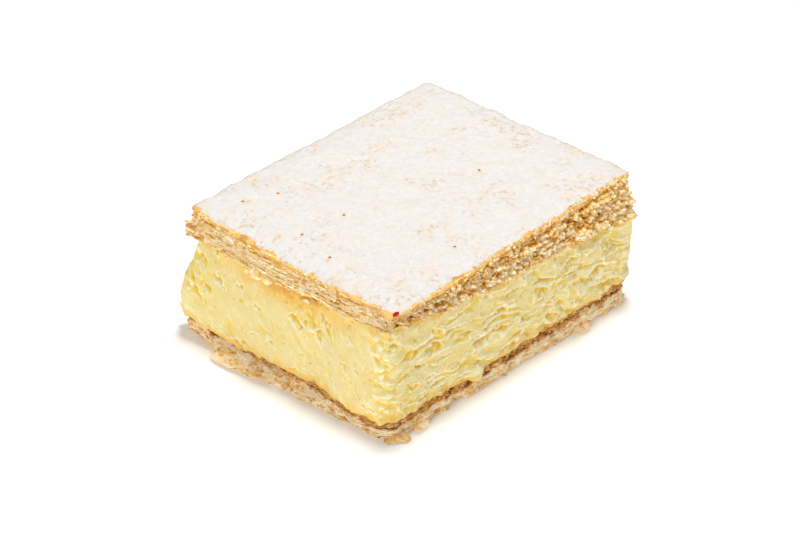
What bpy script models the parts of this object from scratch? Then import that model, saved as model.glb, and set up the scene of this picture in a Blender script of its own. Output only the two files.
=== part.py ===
"""A slice of mille feuille: a tray-cut block of set custard between two sheets of baked puff pastry.

The slice stands on its base sheet, in metres. X runs along its longer sides, Y along its shorter sides and Z up.
The origin is the middle of the box around the slice, at table level.
"""

import math
from collections import namedtuple

import bmesh
import bpy
from mathutils import Vector, noise

MM = 0.001

# Driving dimensions. A sheet is the plan of a layer: its sides, and where its middle lies from the lid's middle.
# FOOT is the base's plan at the table and BASE the one at its top.
Sheet = namedtuple("Sheet", "length width shift_x shift_y")
LID = Sheet(100 * MM, 79.5 * MM, 0.0, 0.0)
BASE = Sheet(102.5 * MM, 86 * MM, -1.4 * MM, 2.4 * MM)
FOOT = Sheet(103 * MM, 86 * MM, -1.9 * MM, 2.4 * MM)
HEIGHT = 45 * MM

# The front side is cut aslant: it moves this much towards -Y for each metre along +X.
FRONT_SLANT = 0.05

# The base's foot is pressed out in a skirt on the left: how far, and where along Y it reaches furthest.
SKIRT_BULGE = 3.4 * MM
SKIRT_MIDDLE = 16 * MM
SKIRT_LENGTH = 19 * MM

# Heights of the two meeting surfaces at the slice's corners, keyed by the signs of X and Y.
BASE_TOP = {(-1, -1): 5.2 * MM, (1, -1): 8.2 * MM, (-1, 1): 6.2 * MM, (1, 1): 7.0 * MM}
LID_UNDER = {(-1, -1): 36.2 * MM, (1, -1): 32.6 * MM, (-1, 1): 34.6 * MM, (1, 1): 34.0 * MM}
GAP = 0.3 * MM
MEETING_RIPPLE = 0.45 * MM
RIPPLE_LENGTH = 24 * MM

# Pastry: each leaf of a sheet ends in a ragged lip, with a groove between two lips.
LID_LEAVES = 3
BASE_LEAVES = 2
LIP_RAG = 0.9 * MM
RAG_LENGTH = 7 * MM
GROOVE_DEPTH = 1.0 * MM
CORNER_CUT = 0.9 * MM

# The lid's top sags a little and rounds over at its rim; the base's rim curls up off the table.
LID_SAG = 0.5 * MM
SAG_LENGTH = 30 * MM
RIM_DROP = 0.7 * MM
RIM_WIDTH = 4 * MM
RIM_LIFT = 1.5 * MM
LIFT_WIDTH = 7 * MM

# Custard: how far each cut side draws in under the lid and swells out lower down, keyed by the side's outward way.
DRAW_IN = {(-1, 0): 2.6 * MM, (0, -1): 0.7 * MM, (1, 0): 0.5 * MM, (0, 1): 2.4 * MM}
SWELL = {(-1, 0): 0.5 * MM, (0, -1): 0.3 * MM, (1, 0): 0.6 * MM, (0, 1): 1.7 * MM}
CUSTARD_TIERS = 7
SMEAR_DEPTH = 0.9 * MM
SMEAR_LENGTH = 16 * MM
SMEAR_HEIGHT = 5 * MM

CELL = 4 * MM


def clear_scene():
    for old in list(bpy.data.objects):
        bpy.data.objects.remove(old, do_unlink=True)


def wave(x, y, z, length):
    """A smooth random height from -1 to 1, whose bumps are about length apart."""
    return noise.noise(Vector((x, y, z)) / length)


def smooth_step(amount):
    t = min(1.0, max(0.0, amount))
    return t * t * (3 - 2 * t)


def between_corners(heights, x, y):
    """The height at a point, blended from those at the slice's four corners."""
    across = min(1.0, max(0.0, x / LID.length + 0.5))
    along = min(1.0, max(0.0, y / LID.width + 0.5))
    near = heights[-1, -1] * (1 - across) + heights[1, -1] * across
    far = heights[-1, 1] * (1 - across) + heights[1, 1] * across
    return near * (1 - along) + far * along


def rim_distance(sheet, x, y):
    """How far a point lies inside the sheet's nearest side."""
    to_ends = sheet.length / 2 - abs(x - sheet.shift_x)
    to_back = sheet.shift_y + sheet.width / 2 - y
    to_front = y - (sheet.shift_y - sheet.width / 2 - FRONT_SLANT * x)
    return min(to_ends, to_back, to_front)


def base_underside(x, y):
    """Flat on the table, and curled up unevenly along the rim."""
    nearness = smooth_step(1 - rim_distance(BASE, x, y) / LIFT_WIDTH)
    return RIM_LIFT * nearness * (0.55 + 0.45 * wave(x, y, 3, RIPPLE_LENGTH))


def base_top(x, y):
    return between_corners(BASE_TOP, x, y) + MEETING_RIPPLE * wave(x, y, 1, RIPPLE_LENGTH)


def custard_underside(x, y):
    return base_top(x, y) + GAP


def lid_underside(x, y):
    return between_corners(LID_UNDER, x, y) + MEETING_RIPPLE * wave(x, y, 5, RIPPLE_LENGTH)


def custard_top(x, y):
    return lid_underside(x, y) - GAP


def lid_top(x, y):
    """Nearly level, with shallow sags, and rounded over at the rim."""
    sag = LID_SAG * (0.5 + 0.5 * wave(x, y, 9, SAG_LENGTH))
    drop = RIM_DROP * smooth_step(1 - rim_distance(LID, x, y) / RIM_WIDTH)
    return HEIGHT - sag - drop


def leaf_reach(x, y, tier, side, seed):
    """How far a pastry side stands out: even tiers are the lips of leaves, and odd ones the grooves between them."""
    rag = LIP_RAG * wave(x, y, seed + tier, RAG_LENGTH)
    corner = CORNER_CUT if all(side) else 0.0
    return rag - corner - (GROOVE_DEPTH if tier % 2 else 0.0)


def base_reach(x, y, tier, side):
    """The base's ragged leaves, and the skirt that its foot is pressed out in on the left."""
    skirt = 0.0
    if side == (-1, 0):
        skirt = SKIRT_BULGE * math.exp(-(((y - SKIRT_MIDDLE) / SKIRT_LENGTH) ** 2))
    return leaf_reach(x, y, tier, side, 20) + skirt * (1 - tier / (2 * BASE_LEAVES))


def custard_reach(x, y, tier, side):
    """How far a custard side stands out: drawn in under the lid, swollen lower down, and smeared by the knife."""
    up = tier / CUSTARD_TIERS
    parts = [(side[0], 0), (0, side[1])]
    faces = [part for part in parts if any(part)]
    draw_in = sum(DRAW_IN[face] for face in faces) / len(faces)
    swell = sum(SWELL[face] for face in faces) / len(faces)
    smear = noise.noise(Vector((x / SMEAR_LENGTH, y / SMEAR_LENGTH, up * HEIGHT / SMEAR_HEIGHT)))
    corner = CORNER_CUT if all(side) else 0.0
    return swell * 4 * up * (1 - up) - draw_in * smooth_step(2 * up - 1) + SMEAR_DEPTH * smear - corner


def gridded_cube(columns, rows, tiers):
    """A cube from -1/2 to 1/2, cut into columns along X, rows along Y and tiers along Z."""
    bm = bmesh.new()
    bmesh.ops.create_cube(bm, size=1.0)
    for axis, count in enumerate((columns, rows, tiers)):
        way = Vector((axis == 0, axis == 1, axis == 2))
        for step in range(1, count):
            every = bm.verts[:] + bm.edges[:] + bm.faces[:]
            bmesh.ops.bisect_plane(bm, geom=every, plane_co=way * (step / count - 0.5), plane_no=way)
    return bm


def side_of(place):
    """The outward way at a point of the unit cube: -1, 0 or 1 along X and along Y."""
    return tuple(int(round(c * 2)) if abs(c) > 0.499 else 0 for c in place.xy)


def plan_point(sheet, place):
    """Where a point of the unit cube lies in a sheet's plan, whose front side is aslant and back side is not."""
    x = sheet.shift_x + place.x * sheet.length
    y = sheet.shift_y + place.y * sheet.width
    return Vector((x, y - FRONT_SLANT * x * (0.5 - place.y)))


def layer(name, low_sheet, high_sheet, tiers, reach, under, over, material):
    """One layer of the slice, between two plans and two surfaces, whose sides stand out by reach."""
    bm = gridded_cube(round(high_sheet.length / CELL), round(high_sheet.width / CELL), tiers)
    for vert in bm.verts:
        place = vert.co.copy()
        up = place.z + 0.5
        plan = plan_point(low_sheet, place).lerp(plan_point(high_sheet, place), up)
        side = side_of(place)
        if any(side):
            plan += Vector(side) * reach(plan.x, plan.y, round(up * tiers), side)
        height = under(*plan) * (1 - up) + over(*plan) * up
        vert.co = plan.to_3d() + Vector((0, 0, height))
    bmesh.ops.recalc_face_normals(bm, faces=bm.faces)
    mesh = bpy.data.meshes.new(name)
    bm.to_mesh(mesh)
    bm.free()
    mesh.materials.append(material)
    made = bpy.data.objects.new(name, mesh)
    bpy.context.scene.collection.objects.link(made)
    return made


def food_material(name, colour, roughness):
    material = bpy.data.materials.new(name)
    material.use_nodes = True
    shader = material.node_tree.nodes["Principled BSDF"]
    shader.inputs["Base Color"].default_value = (*colour, 1.0)
    shader.inputs["Roughness"].default_value = roughness
    shader.inputs["Metallic"].default_value = 0.0
    return material


def base_sheet():
    material = food_material("base_pastry", (0.67, 0.45, 0.24), 0.8)
    return layer("base_pastry", FOOT, BASE, 2 * BASE_LEAVES, base_reach, base_underside, base_top, material)


def custard_block():
    material = food_material("custard", (0.89, 0.74, 0.33), 0.45)
    return layer(
        "custard", BASE, LID, CUSTARD_TIERS, custard_reach, custard_underside, custard_top, material,
    )


def lid_sheet():
    material = food_material("lid_pastry", (0.74, 0.50, 0.22), 0.8)
    return layer(
        "lid_pastry", LID, LID, 2 * LID_LEAVES,
        lambda x, y, tier, side: leaf_reach(x, y, tier, side, 40),
        lid_underside, lid_top, material,
    )


def centre_in_plan(layers):
    """Moves every layer sideways together, so that the box around them has its middle over the origin."""
    places = [vert.co for made in layers for vert in made.data.vertices]
    middle_x = (min(p.x for p in places) + max(p.x for p in places)) / 2
    middle_y = (min(p.y for p in places) + max(p.y for p in places)) / 2
    for made in layers:
        for vert in made.data.vertices:
            vert.co -= Vector((middle_x, middle_y, 0))


def main():
    clear_scene()
    centre_in_plan([base_sheet(), custard_block(), lid_sheet()])


main()
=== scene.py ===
"""The looks of a mille feuille slice: set custard between two sheets of puff pastry, dusted with icing sugar.

Shapes are worked out in millimetres, in the frame's own axes, and become metres when a mesh is written.
The slice's front left corner, where -X meets -Y, is the one nearest the camera.
"""

import itertools
import math
from collections import namedtuple

import bmesh
import bpy
import numpy as np
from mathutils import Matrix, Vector
from mathutils.bvhtree import BVHTree


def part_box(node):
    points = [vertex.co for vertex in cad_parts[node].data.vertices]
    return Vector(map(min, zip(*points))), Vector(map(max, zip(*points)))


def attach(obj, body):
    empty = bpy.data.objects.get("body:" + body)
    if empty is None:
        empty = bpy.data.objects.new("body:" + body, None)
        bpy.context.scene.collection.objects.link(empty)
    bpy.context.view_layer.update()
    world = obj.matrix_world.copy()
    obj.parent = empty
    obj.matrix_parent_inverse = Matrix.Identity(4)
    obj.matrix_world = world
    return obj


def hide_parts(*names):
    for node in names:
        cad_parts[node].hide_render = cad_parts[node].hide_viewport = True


MM = 0.001

# The camera: the way it stands round the slice, its height, and the point of the slice that it looks at.
VIEW_AZIMUTH = math.radians(-47.0)
VIEW_ELEVATION = math.radians(33.8)
VIEW_DISTANCE = 655.5
VIEW_LENS = 100
SENSOR_WIDTH = 36
VIEW_TARGET = (-5.74, -3.6, 22.5)

# Plans, as how far inside the CAD boxes each side's mean outline lies: left, front, right and back. A minus
# is outside. The lid's wall leans in from its under edge to its rim, and the base's out to its foot.
LID_UNDER_INSETS = (-2.6, -2.5, -0.6, 0.0)
LID_TOP_INSETS = (-0.6, 2.2, -1.1, -1.5)
BASE_TOP_INSETS = (-0.2, 0.7, -1.2, 0.0)
BASE_FOOT_INSETS = (0.9, 0.0, 2.0, 0.7)

# The radii of their corners: front right, back right, back left and front left.
LID_CORNERS = (5.0, 1.6, 2.0, 2.6)
BASE_CORNERS = (3.0, 2.0, 2.4, 5.0)

# The front side is cut aslant, as in the CAD: it moves this much towards -Y for each step along +X. The
# lid's rim is square again.
FRONT_SLANT = 0.05
LID_HALF_LENGTH = 50

# How much closer the walls' columns stand round the corner that the camera sees, as a share of their spacing.
COLUMN_GATHER = 0.28

# Sides, by their outward ways: front is -Y, left is -X.
FRONT, RIGHT, BACK, LEFT = (0, -1), (1, 0), (0, 1), (-1, 0)


# ---------------------------------------------------------------- random fields


# The walls, the custard and the crumbs are shaped by sums of these fields. Each term has its own height, the
# length of its bumps in millimetres, and its own seed, which is the last number given to it.

# How far apart in a field the leaves, a plate's sides and the custard's opposite sides are, so that they
# differ.
LEAF_SPACING = 53.7
PLATE_SPACING = 31.0
SIDE_SPACING = 90


def lattice_hash(cell, seed):
    """A scrambled whole number for each corner of a noise lattice, by large odd multipliers."""
    mixed = cell[:, 0] * np.uint32(374761393) + cell[:, 1] * np.uint32(668265263)
    mixed = mixed + cell[:, 2] * np.uint32(2246822519) + np.uint32(seed * 3266489917 % 2**32)
    mixed = (mixed ^ (mixed >> np.uint32(15))) * np.uint32(2654435761)
    mixed = (mixed ^ (mixed >> np.uint32(13))) * np.uint32(1274126177)
    return mixed ^ (mixed >> np.uint32(16))


def hash_parts(numbers):
    """Three fractions from 0 to 1 out of each scrambled number."""
    shifts = np.array([0, 10, 20], np.uint32)
    return ((numbers[:, None] >> shifts) & np.uint32(1023)) / 1023


# What brings the random heights to about -1 to 1, and a number of cells that no dot can be away.
BUMP_GAIN = 1.9
FAR_AWAY = 9.0


def bumps(points, size, seed):
    """Smooth random heights, mostly from -1 to 1, with bumps size apart. Size is one length or three."""
    spot = points / np.asarray(size, float)
    low = np.floor(spot)
    part = spot - low
    fade = part**3 * (part * (part * 6 - 15) + 10)
    total = np.zeros(len(spot))
    for corner in itertools.product((0, 1), repeat=3):
        cell = (low.astype(np.int64) + corner).astype(np.uint32)
        slope = hash_parts(lattice_hash(cell, seed)) * 2 - 1
        weight = np.where(corner, fade, 1 - fade).prod(axis=1)
        total += weight * ((part - corner) * slope).sum(axis=1)
    return total * BUMP_GAIN


def rough_bumps(points, size, seed, octaves, fall=0.5):
    """Bumps with finer bumps on them, each octave half as wide as the last."""
    size = np.asarray(size, float)
    heights = sum(fall**k * bumps(points, size / 2**k, seed + 17 * k) for k in range(octaves))
    return heights / sum(fall**k for k in range(octaves))


def nearest_dot(points, size, seed, kept=1.0):
    """How far each point is, in cells, from the nearest of some scattered dots, of which a share is kept."""
    spot = points / np.asarray(size, float)
    low = np.floor(spot)
    best = np.full(len(spot), FAR_AWAY)
    for step in itertools.product((-1, 0, 1), repeat=3):
        cell = low + step
        whole = cell.astype(np.int64).astype(np.uint32)
        away = np.linalg.norm(cell + hash_parts(lattice_hash(whole, seed)) - spot, axis=1)
        chance = hash_parts(lattice_hash(whole, seed + 1))[:, 0]
        best = np.minimum(best, np.where(chance < kept, away, FAR_AWAY))
    return best


def ease(value, low, high):
    """0 below low, 1 above high, and smooth between them."""
    share = np.clip((value - low) / (high - low), 0, 1)
    return share * share * (3 - 2 * share)


def stack(*columns):
    """Numbers and rows of numbers, side by side as the columns of one array."""
    return np.stack(np.broadcast_arrays(*columns), axis=1).astype(float)


# ---------------------------------------------------------------- plans and surfaces from the frame


def box_mm(node):
    low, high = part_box(node)
    return np.array(low) / MM, np.array(high) / MM


class Outline:
    """A rectangle with round corners in plan. A walk round it starts with the front side, towards +X."""

    CORNERS = np.array([(1, -1), (1, 1), (-1, 1), (-1, -1)], float)
    LEAST_RADIUS = 0.05

    def __init__(self, box, insets, radii, slant):
        left, front, right, back = insets
        self.low = box[0][:2] + np.array([left, front + slant * (box[1][0] - box[0][0]) / 2])
        self.high = box[1][:2] - np.array([right, back])
        self.middle, self.half = (self.low + self.high) / 2, (self.high - self.low) / 2
        self.radii = np.array(radii)
        self.slant = slant

    def walk(self, turn, inset):
        """Places at shares of a whole turn, moved in from the outline by inset, and the outward ways."""
        straight = 2 * np.tile(self.half, 2) - self.radii - np.roll(self.radii, 1)
        lengths = stack(straight, math.pi / 2 * self.radii).ravel()
        ends = np.cumsum(lengths)
        way = (turn % 1) * ends[-1]
        piece = np.searchsorted(ends, way, side="right").clip(0, 7)
        share = (way - (ends - lengths)[piece]) / lengths[piece]
        side, on_arc = piece // 2, piece % 2
        angle = (side - 1 + share * on_arc) * math.pi / 2
        outward = stack(np.cos(angle), np.sin(angle))
        along = np.where(on_arc, 1.0, share)
        corner = self.radii[side - 1] * (1 - along) + self.radii[side] * along
        radius = np.maximum(corner - inset, self.LEAST_RADIUS)
        toward = self.CORNERS[side - 1] * (1 - along)[:, None] + self.CORNERS[side] * along[:, None]
        reach = self.half - (inset + radius)[:, None]
        plan = self.middle + toward * reach + outward * radius[:, None]
        from_back = (self.high[1] - plan[:, 1]) / (2 * self.half[1])
        plan[:, 1] -= self.slant * (plan[:, 0] - self.middle[0]) * from_back
        return plan, outward


def leaning(low_plan, high_plan, turn, inset, up):
    """Places on a side that leans from one plan to another, at shares of its height, moved in by inset."""
    low, high = low_plan.walk(turn, inset)[0], high_plan.walk(turn, inset)[0]
    return low + (high - low) * up[:, None]


def tree_of(piece, merge=None):
    """What rays can be cast at: a piece's mesh, or a CAD node's, whose loose triangles are merged first."""
    bm = bmesh.new()
    bm.from_mesh(piece.data)
    if merge:
        bmesh.ops.remove_doubles(bm, verts=bm.verts, dist=merge)
    tree = BVHTree.FromBMesh(bm)
    bm.free()
    return tree


class Surface:
    """A level face of a CAD node, as heights read off it on a grid of plan points.

    The grid's points are STEP apart, and it ends EDGE inside the plan, clear of the CAD's rounded rims. Rays
    from a metre away find the heights.
    """

    STEP = 3.0
    EDGE = 4.0
    INSIDE = 0.001

    def __init__(self, node, plan, from_above):
        tree = tree_of(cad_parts[node], merge=1e-6)
        self.low = plan.low + self.EDGE + np.array([0, plan.slant * plan.half[0]])
        self.high = plan.high - self.EDGE
        self.count = np.ceil((self.high - self.low) / self.STEP).astype(int) + 1
        xs = np.linspace(self.low[0], self.high[0], self.count[0])
        ys = np.linspace(self.low[1], self.high[1], self.count[1])
        start, way = (1.0, Vector((0, 0, -1))) if from_above else (-1.0, Vector((0, 0, 1)))
        hits = [[tree.ray_cast(Vector((x * MM, y * MM, start)), way)[0].z for y in ys] for x in xs]
        self.heights = np.array(hits) / MM

    def __call__(self, x, y):
        share_x = (x - self.low[0]) / (self.high[0] - self.low[0]) * (self.count[0] - 1)
        share_y = (y - self.low[1]) / (self.high[1] - self.low[1]) * (self.count[1] - 1)
        share_x = np.clip(share_x, 0, self.count[0] - 1 - self.INSIDE)
        share_y = np.clip(share_y, 0, self.count[1] - 1 - self.INSIDE)
        i, j = share_x.astype(int), share_y.astype(int)
        u, v = share_x - i, share_y - j
        near = self.heights[i, j] * (1 - u) + self.heights[i + 1, j] * u
        far = self.heights[i, j + 1] * (1 - u) + self.heights[i + 1, j + 1] * u
        return near * (1 - v) + far * v


def by_side(outward, front, right, back, left):
    """One number for each side of the slice, blended round its corners."""
    ways = ((FRONT, front), (RIGHT, right), (BACK, back), (LEFT, left))
    return sum(np.clip(outward @ np.array(way, float), 0, 1) ** 2 * value for way, value in ways)


# ---------------------------------------------------------------- mesh making


def grid_shares(bm):
    """Each vertex of a unit grid as two shares from 0 to 1."""
    places = np.array([vert.co for vert in bm.verts])
    return places[:, 0] + 0.5, places[:, 1] + 0.5


def move_verts(bm, points):
    for vert, point in zip(bm.verts, points * MM):
        vert.co = point


def unit_grid(columns, rows):
    bm = bmesh.new()
    bmesh.ops.create_grid(bm, x_segments=columns, y_segments=rows, size=0.5)
    return bm


# A wall is closed by this many more rows of its grid below it and above it.
CLOSING_ROWS = 2


def wall_grid(columns, wall_rows):
    """A grid to wrap round the slice, with rows to close it, and what is known of its vertices.

    That is their shares of a turn, where columns stand closer on the front and left than behind, their rows,
    and how many rows past the wall's foot or top they are.
    """
    rows = wall_rows + 2 * CLOSING_ROWS
    bm = unit_grid(columns, rows - 1)
    share, up = grid_shares(bm)
    turn = share - COLUMN_GATHER / math.tau * np.sin(math.tau * share)
    row = np.rint(up * (rows - 1)).astype(int) - CLOSING_ROWS
    beyond = np.where(row < 0, -row, np.where(row >= wall_rows, row - wall_rows + 1, 0))
    return bm, turn, row, beyond


def write_layers(bm, layers):
    """Puts numbers for the materials on the vertices, one attribute for each name."""
    for name, values in layers.items():
        layer = bm.verts.layers.float.new(name)
        for vert, value in zip(bm.verts, values):
            vert[layer] = value


def open_edges(bm):
    return [edge for edge in bm.edges if edge.is_boundary]


def close_flat(bm):
    """Closes the loops that are left open with flat faces."""
    bmesh.ops.holes_fill(bm, edges=open_edges(bm), sides=0)
    bmesh.ops.recalc_face_normals(bm, faces=bm.faces)


def wrap_round(bm):
    """Joins a grid's two ends where they meet, and closes it below and above."""
    bmesh.ops.remove_doubles(bm, verts=bm.verts, dist=1e-7)
    close_flat(bm)


def close_under(bm, steps):
    """Gives a sheet a rim and a flat underside. Each step is how far in and how far down its edge goes."""
    for inward, drop in steps:
        made = bmesh.ops.extrude_edge_only(bm, edges=open_edges(bm))["geom"]
        ring = [part for part in made if isinstance(part, bmesh.types.BMVert)]
        places = np.array([vert.co for vert in ring])
        middle = (places.min(axis=0) + places.max(axis=0)) / 2
        half = (places.max(axis=0) - places.min(axis=0)) / 2
        for vert in ring:
            away = vert.co - Vector(middle)
            vert.co.x -= away.x / half[0] * inward * MM
            vert.co.y -= away.y / half[1] * inward * MM
            vert.co.z -= drop * MM
    level = min(vert.co.z for vert in ring)
    for vert in ring:
        vert.co.z = level
    close_flat(bm)


def put_in_scene(name, data):
    made = bpy.data.objects.new(name, data)
    bpy.context.scene.collection.objects.link(made)
    return made


def mesh_from(name, bm):
    mesh = bpy.data.meshes.new(name)
    bm.to_mesh(mesh)
    bm.free()
    return mesh


def finish_piece(name, bm, material, replaced=(), smooth=True):
    """Turns a bmesh into a piece that rides on the slice, and may stand for a CAD node."""
    mesh = mesh_from(name, bm)
    if smooth:
        mesh.shade_smooth()
    mesh.materials.append(material)
    piece = put_in_scene(name, mesh)
    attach(piece, "root")
    if replaced:
        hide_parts(*replaced)
    return piece


# ---------------------------------------------------------------- leaved pastry walls


# A leaf's edge in section: how far up the leaf each row is, and how far towards the groove from the lip. The
# second and fourth rows lie closer to the middle where the lip is thin.
LEAF_ROWS = (0.04, 0.2, 0.5, 0.8, 0.96)
LEAF_DEPTHS = (1.0, 0.16, 0.0, 0.12, 1.0)
DEEPEST_GROOVE = 1.9

WALL_COLUMNS = 1500

# How far in the rows that close a leaved wall go.
WALL_CLOSING = (0, 3.5, 14.0)

# What a wall is like at each place: how far it leans out, how torn it is from 0 to 1, how wide its grooves
# gape, and the depth of its pockets.
Edge = namedtuple("Edge", "lean torn gape pocket")


def leaved_wall(plans, under, over, leaves, seed, edge_at, caps):
    """A pastry sheet's ragged side as one closed wall, whose leaves have lips with grooves between them.

    plans are the wall's outlines at its foot and at its top. caps are the heights of the rows that close the
    wall below, and how far from its highest place those that close it above are, nearest first.
    """
    per_leaf = len(LEAF_ROWS)
    wall_rows = leaves * per_leaf
    bm, turn, row, beyond = wall_grid(WALL_COLUMNS, wall_rows)
    in_wall = row.clip(0, wall_rows - 1)
    leaf, part = in_wall // per_leaf, in_wall % per_leaf

    rim, outward = plans[0].walk(turn, np.zeros(len(turn)))
    spot = stack(*rim.T, 0.0)

    def field(sizes, key):
        """Random heights round the rim, different for each key. Each use has keys of its own."""
        place = spot + stack(0.0, 0.0, key * LEAF_SPACING)
        return sum(amount * bumps(place, size, seed) for amount, size in sizes)

    edges = [np.zeros(len(turn))]
    for k in range(leaves):
        thickness = 1 + field([(0.4, 12), (0.22, 3.5)], np.full(len(turn), 40.0 + k))
        edges.append(edges[-1] + thickness.clip(0.3, 2))
    edges = np.array(edges) / edges[-1]
    index = np.arange(len(turn))
    low_edge, high_edge = edges[leaf, index], edges[leaf + 1, index]
    thin = 0.55 + 0.45 * ease(field([(0.9, 2.6)], leaf + 400.0), -0.5, 0.4)
    inner_row = (part == 1) | (part == 3)
    section = np.array(LEAF_ROWS)[part]
    section = np.where(inner_row, 0.5 + (section - 0.5) * thin, section)
    height = low_edge + (high_edge - low_edge) * section
    under_z, over_z = under(*rim.T), over(*rim.T)
    z = under_z + (over_z - under_z) * height

    edge = edge_at(rim, outward, height, stack(*rim.T, z))
    depth = np.array(LEAF_DEPTHS)[part]
    lip = field([(0.5, 12), (0.3, 5)], leaf.astype(float))
    lip += (0.05 + edge.torn) * field([(0.4, 2), (0.4, 0.8)], leaf + 50.0)
    lost = field([(0.9, 8)], leaf + 100.0) + (0.1 + edge.torn) * field([(0.6, 1.4)], leaf + 150.0)
    lost = ease(lost, 0.15, 0.6)
    groove = (0.8 + field([(0.8, 5), (0.5, 1.5)], leaf + 200.0 + (part == per_leaf - 1))) * edge.gape
    groove = groove.clip(0.06, DEEPEST_GROOVE)
    inset = 0.15 - lip * (0.7 + 0.5 * edge.torn) + lost * (0.35 + 1.0 * edge.torn) - edge.lean
    inset = inset + depth * groove + edge.pocket

    curl = field([(0.16, 3), (0.16, 1.0)], leaf + 300.0) * (1 - depth) * (0.4 + edge.gape)
    inset = np.where(beyond > 0, np.array(WALL_CLOSING)[beyond], inset)
    low_cap = np.array([0, *caps[0]])[beyond]
    high_cap = over_z.max() + np.array([0, *caps[1]])[beyond]
    z = np.where(row < 0, low_cap, np.where(row >= wall_rows, high_cap, z + curl))

    plan = leaning(*plans, turn, inset, height)
    points = stack(*plan.T, z)
    grain = stack(*[bumps(points, 0.8, seed + 60 + k) for k in range(3)]) * 0.14 * (0.3 + edge.gape)[:, None]
    points += np.where((beyond > 0)[:, None], 0.0, grain)
    move_verts(bm, points)
    # Painted shade, kept under the name groove: how dark the materials paint each place, deepest in the
    # grooves and pockets.
    shade = np.where(beyond > 0, 0.0, depth * groove / DEEPEST_GROOVE * 1.3 + edge.pocket * 0.6)
    write_layers(bm, {"groove": shade.clip(0, 1), "height": height})
    wrap_round(bm)
    return bm


# ---------------------------------------------------------------- materials


def colour(red, green, blue):
    """A colour given as it looks on screen, 0 to 255, as the linear values that a shader takes."""
    parts = [c / 255 for c in (red, green, blue)]
    return tuple(c / 12.92 if c <= 0.04045 else ((c + 0.055) / 1.055) ** 2.4 for c in parts) + (1.0,)


class Nodes:
    """Builds one material's node tree in a few words."""

    # A Mix node has its sockets for colours after those for numbers and vectors.
    MIX_FIRST, MIX_SECOND, MIX_RESULT = 6, 7, 2

    def __init__(self, name):
        self.material = bpy.data.materials.new(name)
        self.material.use_nodes = True
        self.tree = self.material.node_tree
        self.shader = self.tree.nodes["Principled BSDF"]
        self.coords = self.tree.nodes.new("ShaderNodeTexCoord").outputs["Object"]
        self.base = None

    def add(self, kind, settings=(), **inputs):
        made = self.tree.nodes.new("ShaderNode" + kind)
        for key, value in dict(settings).items():
            setattr(made, key, value)
        for key, value in inputs.items():
            self.put(value, made.inputs[key.replace("_", " ")])
        return made

    def put(self, value, socket):
        if isinstance(value, bpy.types.NodeSocket):
            self.tree.links.new(value, socket)
        else:
            socket.default_value = value

    def noise(self, size_mm, detail=3.0, roughness=0.5, stretch=None):
        """Noise with bumps about size_mm apart on the object's own coordinates."""
        vector = self.coords
        if stretch:
            vector = self.add("Mapping", Vector=vector, Scale=stretch).outputs["Vector"]
        scale = 1 / (size_mm * MM)
        made = self.add("TexNoise", Vector=vector, Scale=scale, Detail=detail, Roughness=roughness)
        return made.outputs["Fac"]

    def attribute(self, name):
        return self.add("Attribute", {"attribute_name": name}).outputs["Fac"]

    def ramp(self, value, low, high, to_low=0.0, to_high=1.0):
        made = self.add("MapRange", {"interpolation_type": "SMOOTHSTEP"})
        for key, number in zip(("From Min", "From Max", "To Min", "To Max"), (low, high, to_low, to_high)):
            made.inputs[key].default_value = number
        self.put(value, made.inputs["Value"])
        return made.outputs["Result"]

    def maths(self, operation, first, second):
        made = self.add("Math", {"operation": operation})
        self.put(first, made.inputs[0])
        self.put(second, made.inputs[1])
        return made.outputs["Value"]

    def mix(self, share, first, second):
        made = self.add("Mix", {"data_type": "RGBA"})
        self.put(share, made.inputs["Factor"])
        self.put(first, made.inputs[self.MIX_FIRST])
        self.put(second, made.inputs[self.MIX_SECOND])
        return made.outputs[self.MIX_RESULT]

    def start(self, share, first, second):
        """Makes the base colour a mix of two."""
        self.base = self.mix(share, colour(*first), colour(*second))

    def lay(self, share, *shade):
        """Lays a colour over the base colour."""
        self.base = self.mix(share, self.base, colour(*shade))

    def bump(self, height, depth_mm):
        return self.add("Bump", Height=height, Distance=depth_mm * MM, Strength=1.0).outputs["Normal"]

    def surface(self, roughness, normal=None, **plain):
        self.put(self.base, self.shader.inputs["Base Color"])
        self.put(roughness, self.shader.inputs["Roughness"])
        if normal:
            self.put(normal, self.shader.inputs["Normal"])
        for key, value in plain.items():
            self.shader.inputs[key.replace("_", " ")].default_value = value
        return self.material


def lid_material():
    """Baked leaves: cream lips over orange and brown painted shade in the grooves, golden near the top and
    paler in the middle.
    """
    n = Nodes("lid_pastry")
    groove = n.attribute("groove")
    fleck = n.noise(1.3, 4, 0.6, (0.6, 0.6, 2.2))
    n.start(n.ramp(fleck, 0.42, 0.6), (246, 227, 176), (249, 242, 222))
    n.lay(n.ramp(n.noise(5, 3), 0.45, 0.65, 0.0, 0.55), 247, 222, 160)
    height = n.attribute("height")
    golden = n.maths("MAXIMUM", n.ramp(height, 0.55, 0.9), n.ramp(height, 0.12, 0.03))
    golden = n.maths("MULTIPLY", golden, n.ramp(fleck, 0.62, 0.46, 0.15, 0.85))
    n.lay(golden, 244, 202, 104)
    # Painted shade: orange, then dark brown, where the groove attribute says a place lies deeper in a groove
    # or pocket.
    n.lay(n.ramp(groove, 0.06, 0.32), 247, 197, 82)
    n.lay(n.ramp(groove, 0.26, 0.66), 200, 106, 2)
    n.lay(n.ramp(n.noise(0.8, 3), 0.62, 0.72, 0.0, 0.5), 222, 156, 66)
    normal = n.bump(n.noise(0.5, 4, 0.6), 0.12)
    return n.surface(0.7, normal, Specular_IOR_Level=0.25)


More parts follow.
